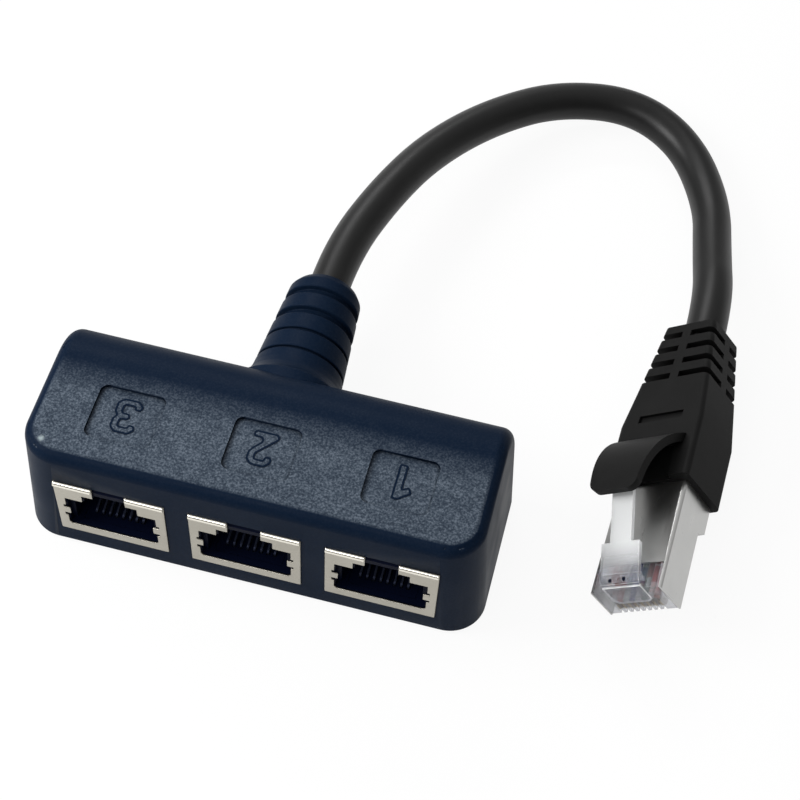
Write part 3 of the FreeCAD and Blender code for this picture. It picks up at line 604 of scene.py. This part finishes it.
section = addNode(tree, "GeometryNodeCurvePrimitiveQuadrilateral",
                  links={"Width": given["Line width"], "Height": given["Line rise"]})
# a dark strip swept round each outline: painted shade
outlineShadeStrip = addNode(tree, "GeometryNodeCurveToMesh",
                links={"Curve": rounded.outputs[0], "Profile Curve": section.outputs[0]})
layers = addNode(tree, "GeometryNodeJoinGeometry")
for layer, material in ((raised, housingAbs), (outlineShadeStrip, outlineShadeAbs)):
    finish = addNode(tree, "GeometryNodeSetMaterial", {"Material": material}, {"Geometry": layer.outputs[0]})
    tree.links.new(finish.outputs[0], layers.inputs[0])
lift = addNode(tree, "ShaderNodeCombineXYZ", links={2: given["Panel height"]})
lifted = addNode(tree, "GeometryNodeTransform",
                 links={"Geometry": layers.outputs[0], "Translation": lift.outputs[0]})
addNode(tree, "NodeGroupOutput", links={0: lifted.outputs[0]})
numbersMesh = grow("portNumbers", outlines, tree, {
    "Corner radius": numbers["corner"], "Corner steps": numbers["cornerSteps"], "Rise": numbers["rise"],
    "Line width": numbers["line"], "Line rise": numbers["lineRise"], "Panel height": panels["sunk"]})
smoothPiece(addPiece("portNumbers", numbersMesh, None), 25)
print("port numbers ready")

# Jacks
jackEdge = 0.1 * mm
for jack in ("jack_1", "jack_2", "jack_3"):
    label = jack.replace("_", "")
    mergedCopy(jack + "_shield", label + "Shield", jackNickel, bevel=jackEdge)
    mergedCopy(jack + "_body", label + "Body", jackPbt, bevel=jackEdge)
    mergedCopy(jack + "_contact_carrier", label + "ContactComb", jackPbt)

# Rolled lips along the top of each jack shield, either side of the latch gap
lips = {"reach": 8.12, "gap": 2.5, "radius": 0.5, "proud": 0.26, "top": 17.14, "front": -23.5,
        "pitch": 19.9, "sides": 28}
shape = bmesh.new()
length, radius = lips["reach"] - lips["gap"], lips["radius"]
across = Matrix.Rotation(math.pi / 2, 4, "Y")
for column in (-1, 0, 1):
    for side in (-1, 1):
        middle = column * lips["pitch"] + side * (lips["reach"] + lips["gap"]) / 2
        place = Vector((middle, lips["front"] - lips["proud"] + radius, lips["top"] - radius)) * mm
        bmesh.ops.create_cone(shape, cap_ends=True, segments=lips["sides"], radius1=radius * mm,
                              radius2=radius * mm, depth=length * mm,
                              matrix=Matrix.Translation(place) @ across)
lipPiece = addPiece("jackShieldLips", meshFrom(shape, "jackShieldLips"), lipNickelLightened)
softEdges(lipPiece, jackEdge, 60, segments=3)
smoothPiece(lipPiece, 50)
print("jacks ready")

# Spring contacts: one bent path, swept and repeated across the comb of each jack
contacts = {"count": 8, "pitch": 1.016 * mm, "jacks": 3, "jackPitch": 19.9 * mm, "width": 0.36 * mm,
            "thickness": 0.3 * mm, "path": [(-7.45, 6.0), (-20.1, 6.0), (-20.75, 6.02), (-20.75, 6.88),
                                            (-20.2, 6.92), (-14.14, 8.21)]}
springPath = bpy.data.curves.new("springPath", "CURVE")
springPath.dimensions = "3D"
line = springPath.splines.new("NURBS")
line.points.add(len(contacts["path"]) - 1)
for point, (y, z) in zip(line.points, contacts["path"]):
    point.co = (0, y * mm, z * mm, 1)
line.order_u = 3
line.use_endpoint_u = True
line.resolution_u = 6
tree, given = newTree("springContacts", {
    "Contacts": "NodeSocketInt", "Contact pitch": "NodeSocketFloat", "Jacks": "NodeSocketInt",
    "Jack pitch": "NodeSocketFloat", "Width": "NodeSocketFloat", "Thickness": "NodeSocketFloat"})
section = addNode(tree, "GeometryNodeCurvePrimitiveQuadrilateral",
                  links={"Width": given["Thickness"], "Height": given["Width"]})
strip = addNode(tree, "GeometryNodeCurveToMesh", {"Fill Caps": True},
                {"Curve": given["Geometry"], "Profile Curve": section.outputs[0]})


def centredRow(tree, count, pitch):
    span = maths(tree, "MULTIPLY", maths(tree, "SUBTRACT", count, 1.0), pitch)
    first = addNode(tree, "ShaderNodeCombineXYZ", links={0: maths(tree, "MULTIPLY", span, -0.5)})
    step = addNode(tree, "ShaderNodeCombineXYZ", links={0: pitch})
    return addNode(tree, "GeometryNodeMeshLine", links={
        "Count": count, "Start Location": first.outputs[0], "Offset": step.outputs[0]})


comb = addNode(tree, "GeometryNodeInstanceOnPoints",
               links={"Points": centredRow(tree, given["Contacts"], given["Contact pitch"]).outputs[0],
                      "Instance": strip.outputs[0]})
row = addNode(tree, "GeometryNodeInstanceOnPoints",
              links={"Points": centredRow(tree, given["Jacks"], given["Jack pitch"]).outputs[0],
                     "Instance": comb.outputs[0]})
solid = addNode(tree, "GeometryNodeRealizeInstances", links={0: row.outputs[0]})
finish = addNode(tree, "GeometryNodeSetMaterial", {"Material": contactGoldShaded}, {"Geometry": solid.outputs[0]})
addNode(tree, "NodeGroupOutput", links={0: finish.outputs[0]})
contactMesh = grow("springContacts", springPath, tree, {
    "Contacts": contacts["count"], "Contact pitch": contacts["pitch"], "Jacks": contacts["jacks"],
    "Jack pitch": contacts["jackPitch"], "Width": contacts["width"], "Thickness": contacts["thickness"]})
springContacts = addPiece("springContacts", contactMesh, None)
smoothPiece(springContacts, 40)
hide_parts(*[name for name in cadNodes if "_contact_" in name and "carrier" not in name])
print("contacts ready")

# Cable: one NURBS spline from the tip of the strain relief along the route to the boot
exitPoint = Vector((-0.85, 23.5, 11.75)) * mm
cable = {"diameter": 6.4 * mm, "lead": 8.5, "length": 0.1362,
         "route": [(2.9, 46.4, 11.2), (7.6, 58.8, 9.6), (15.3, 70.6, 7.6), (25.4, 80.0, 5.6),
                   (38.5, 83.7, 4.1), (48.9, 77.9, 3.4), (55.3, 65.4, 3.6), (56.8, 52.8, 5.6)]}

# Plug frame: origin on the plug's axis, level with the shield's front edge, nose towards -Y
plug = {"x": 55.63, "y": -11.25, "yaw": -2.5, "roll": -39.5, "gap": 0.15, "bootMouth": (7.1, 13.9, -5.1),
        "bootTip": 44.3, "jacketAxis": -0.45}
yaw, roll = math.radians(plug["yaw"]), math.radians(plug["roll"])
turned = Matrix.Rotation(yaw, 4, "Z") @ Matrix.Rotation(roll, 4, "Y")
halfWidth, mouth, low = plug["bootMouth"]
lowest = min((turned @ Vector((side * halfWidth, mouth, low))).z for side in (-1, 1))
plugPlace = Matrix.Scale(mm, 4) @ Matrix.Translation((plug["x"], plug["y"], plug["gap"] - lowest)) @ turned
bootEnd = plugPlace @ Vector((0, plug["bootTip"], plug["jacketAxis"]))
plugAlong = (plugPlace @ Vector((0, 1, 0)) - plugPlace @ Vector((0, 0, 0))).normalized()

routePoints = [exitPoint, exitPoint + Vector((0, cable["lead"] * mm, 0))]
routePoints += [Vector(p) * mm for p in cable["route"]]
routePoints += [bootEnd + plugAlong * cable["lead"] * mm, bootEnd]
cableCurve = bpy.data.curves.new("cableJacket", "CURVE")
cableCurve.dimensions = "3D"
cableCurve.bevel_depth = cable["diameter"] / 2
cableCurve.bevel_resolution = 8
cableCurve.use_fill_caps = True
line = cableCurve.splines.new("NURBS")
line.points.add(len(routePoints) - 1)
for point, place in zip(line.points, routePoints):
    point.co = (*place, 1)
line.order_u = 3
line.use_endpoint_u = True
line.resolution_u = 16
line.use_smooth = True
cableCurve.materials.append(jacketPvc)
cableJacket = addObject("cableJacket", cableCurve)
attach(cableJacket, "root")
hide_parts("cable")
print("cable ready")

# Plug
plugBoot = mergedCopy("plug_boot", "plugBoot", bootRubber, bevel=0.22 * mm, sharp=30)
shieldForm = {"half": 5.84, "top": 3.3, "sheet": 0.25, "corner": 0.6, "cornerSteps": 5, "shortest": 2,
              "slack": 0.02, "crown": 0.24, "strips": 5}


def crownShield(shape):
    # rounds the long top edges, then cuts the top into strips and lifts them in the middle
    shape.transform(plugPlace.inverted())
    slack, strips = shieldForm["slack"], shieldForm["strips"]
    for inset in (0, shieldForm["sheet"]):
        x, z = shieldForm["half"] - inset, shieldForm["top"] - inset
        long = [edge for edge in shape.edges if edge.calc_length() > shieldForm["shortest"] and all(
            abs(abs(v.co.x) - x) < slack and abs(v.co.z - z) < slack for v in edge.verts)]
        bmesh.ops.bevel(shape, geom=long, offset=shieldForm["corner"] - inset,
                        segments=shieldForm["cornerSteps"], profile=0.5, affect="EDGES")
    reach = shieldForm["half"] - shieldForm["corner"]
    for step in range(1 - strips, strips):
        parts = shape.verts[:] + shape.edges[:] + shape.faces[:]
        bmesh.ops.bisect_plane(shape, geom=parts, plane_co=(step * reach / strips, 0, 0), plane_no=(1, 0, 0))
    for vertex in shape.verts:
        if vertex.co.z > shieldForm["top"] - 1.2 * shieldForm["sheet"] and abs(vertex.co.x) < reach:
            vertex.co.z += shieldForm["crown"] * (1 - (vertex.co.x / reach) ** 2)
    shape.transform(plugPlace)


plugShell = mergedCopy("plug_shield", "plugShield", plugNickel, sharp=40, rework=crownShield)
plugBody = mergedCopy("plug_body", "plugBody", plugPolycarbonate, bevel=0.16 * mm, sharp=30,
                      edgeLook=edgeLightPolycarbonate)

# Latch in the plug frame: where it starts above the body's skin, its root plate and its marks
latchForm = {"skin": 3.12, "fade": 0.5, "milk": (-2.2, 1.2), "half": 3.2, "plateTop": 4.2, "plateLow": 0.1,
             "plateProud": 0.22, "plateSunk": 0.1, "nose": 4.15, "corner": 1.1, "edge": 0.12,
             "slope": 18.5, "topAt": (-3.8, 5.05), "marks": ((-1.45, -3.7), (0.85, -3.6)), "mark": 0.3,
             "markTaper": 0.8, "markDepth": 0.06, "markLift": 0.02, "markSides": 20}


def tagLatch(piece, wholePiece=False):
    places = [plugPlace.inverted() @ vertex.co for vertex in piece.data.vertices]
    skin, fade = latchForm["skin"], latchForm["fade"]
    above = [1 if wholePiece else min(1, max(0, (p.z - skin) / fade)) for p in places]
    near, far = latchForm["milk"]
    milky = [share * min(1, max(0, (p.y - near) / (far - near))) for share, p in zip(above, places)]
    piece.data.attributes.new("latch", "FLOAT", "POINT").data.foreach_set("value", above)
    piece.data.attributes.new("milk", "FLOAT", "POINT").data.foreach_set("value", milky)


tagLatch(plugBody)

# Latch root plate: it runs down over the front of the nose and has rounded lower corners
shape = bmesh.new()
half, low, corner = latchForm["half"], latchForm["plateLow"], latchForm["corner"]
bend = [(math.cos(a) * corner, math.sin(a) * corner) for a in (math.radians(d) for d in range(180, 271, 15))]
border = [(-half, latchForm["plateTop"])] + [(corner - half + x, low + corner + z) for x, z in bend]
border += [(-x, z) for x, z in reversed(border)]
front, back = -latchForm["nose"] - latchForm["plateProud"], -latchForm["nose"] + latchForm["plateSunk"]
outer = shape.faces.new([shape.verts.new((x, front, z)) for x, z in border])
grown = bmesh.ops.extrude_face_region(shape, geom=[outer])
moved = [part for part in grown["geom"] if isinstance(part, bmesh.types.BMVert)]
bmesh.ops.translate(shape, verts=moved, vec=(0, back - front, 0))
bmesh.ops.recalc_face_normals(shape, faces=shape.faces)
plateMesh = meshFrom(shape, "latchRootPlate")
plateMesh.transform(plugPlace)
latchPlate = addPiece("latchRootPlate", plateMesh, plugPolycarbonate)
softEdges(latchPlate, latchForm["edge"] * mm, 50, look=edgeLightPolycarbonate)
smoothPiece(latchPlate, 40)
tagLatch(latchPlate, wholePiece=True)

# Ejector marks on the latch root: two small dark discs
shape = bmesh.new()
slope = math.radians(latchForm["slope"])
tilt = Matrix.Rotation(slope, 4, "X")
slopeStart, slopeHeight = latchForm["topAt"]
for x, y in latchForm["marks"]:
    height = slopeHeight + (y - slopeStart) * math.tan(slope) + latchForm["markLift"]
    bmesh.ops.create_cone(shape, cap_ends=True, segments=latchForm["markSides"], radius1=latchForm["mark"],
                          radius2=latchForm["markTaper"] * latchForm["mark"], depth=latchForm["markDepth"],
                          matrix=Matrix.Translation((x, y, height)) @ tilt)
markMesh = meshFrom(shape, "ejectorMarks")
markMesh.transform(plugPlace)
ejectorMarks = addPiece("ejectorMarks", markMesh, jackPbt)
smoothPiece(ejectorMarks, 40)

# Wires in the plug: one core repeated across, each with its number for the colours
cores = {"count": 8, "pitch": 1.016, "diameter": 0.9, "start": -3.15, "end": 10.5, "axis": 0.3, "sides": 20,
         "firstNumber": 0.06}
tree, given = newTree("plugCores", {
    "Cores": "NodeSocketInt", "Pitch": "NodeSocketFloat", "Diameter": "NodeSocketFloat",
    "Start": "NodeSocketFloat", "End": "NodeSocketFloat", "Axis height": "NodeSocketFloat",
    "Sides": "NodeSocketInt", "First number": "NodeSocketFloat", "Number step": "NodeSocketFloat"})
radius = maths(tree, "MULTIPLY", given["Diameter"], 0.5)
span = maths(tree, "SUBTRACT", given["End"], given["Start"])
middle = maths(tree, "MULTIPLY", maths(tree, "ADD", given["End"], given["Start"]), 0.5)
core = addNode(tree, "GeometryNodeMeshCylinder",
               links={"Vertices": given["Sides"], "Radius": radius, "Depth": span})
shift = addNode(tree, "ShaderNodeCombineXYZ", links={1: middle, 2: given["Axis height"]})
laid = addNode(tree, "GeometryNodeTransform", {"Rotation": (math.pi / 2, 0, 0)},
               {"Geometry": core.outputs[0], "Translation": shift.outputs[0]})
places = centredRow(tree, given["Cores"], given["Pitch"])
index = addNode(tree, "GeometryNodeInputIndex")
number = maths(tree, "MULTIPLY_ADD", index.outputs[0], given["Number step"], given["First number"])
tagged = addNode(tree, "GeometryNodeStoreNamedAttribute", {"Name": "core"},
                 {"Geometry": places.outputs[0], "Value": number}, data_type="FLOAT", domain="POINT")
row = addNode(tree, "GeometryNodeInstanceOnPoints",
              links={"Points": tagged.outputs[0], "Instance": laid.outputs[0]})
solid = addNode(tree, "GeometryNodeRealizeInstances", links={0: row.outputs[0]})
finish = addNode(tree, "GeometryNodeSetMaterial", {"Material": coreInsulation},
                 {"Geometry": solid.outputs[0]})
addNode(tree, "NodeGroupOutput", links={0: finish.outputs[0]})
coreMesh = grow("plugCores", bpy.data.meshes.new("plugCoresSource"), tree, {
    "Cores": cores["count"], "Pitch": cores["pitch"], "Diameter": cores["diameter"],
    "Start": cores["start"], "End": cores["end"], "Axis height": cores["axis"], "Sides": cores["sides"],
    "First number": cores["firstNumber"], "Number step": 1 / cores["count"]})
coreMesh.transform(plugPlace)
plugCores = addPiece("plugCores", coreMesh, None)
smoothPiece(plugCores, 40)
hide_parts(*[name for name in cadNodes if name.startswith("plug_wire_")])

blades = [name for name in cadNodes if name.startswith("plug_blade_")]
for names, material in ((blades, bladeGold), (["circuit_board"], boardEpoxy),
                        (["board_wires"], coreInsulation)):
    for name in names:
        cadNodes[name].data.materials.clear()
        cadNodes[name].data.materials.append(material)

print("plug ready")

bpy.context.scene.view_settings.view_transform = "Standard"
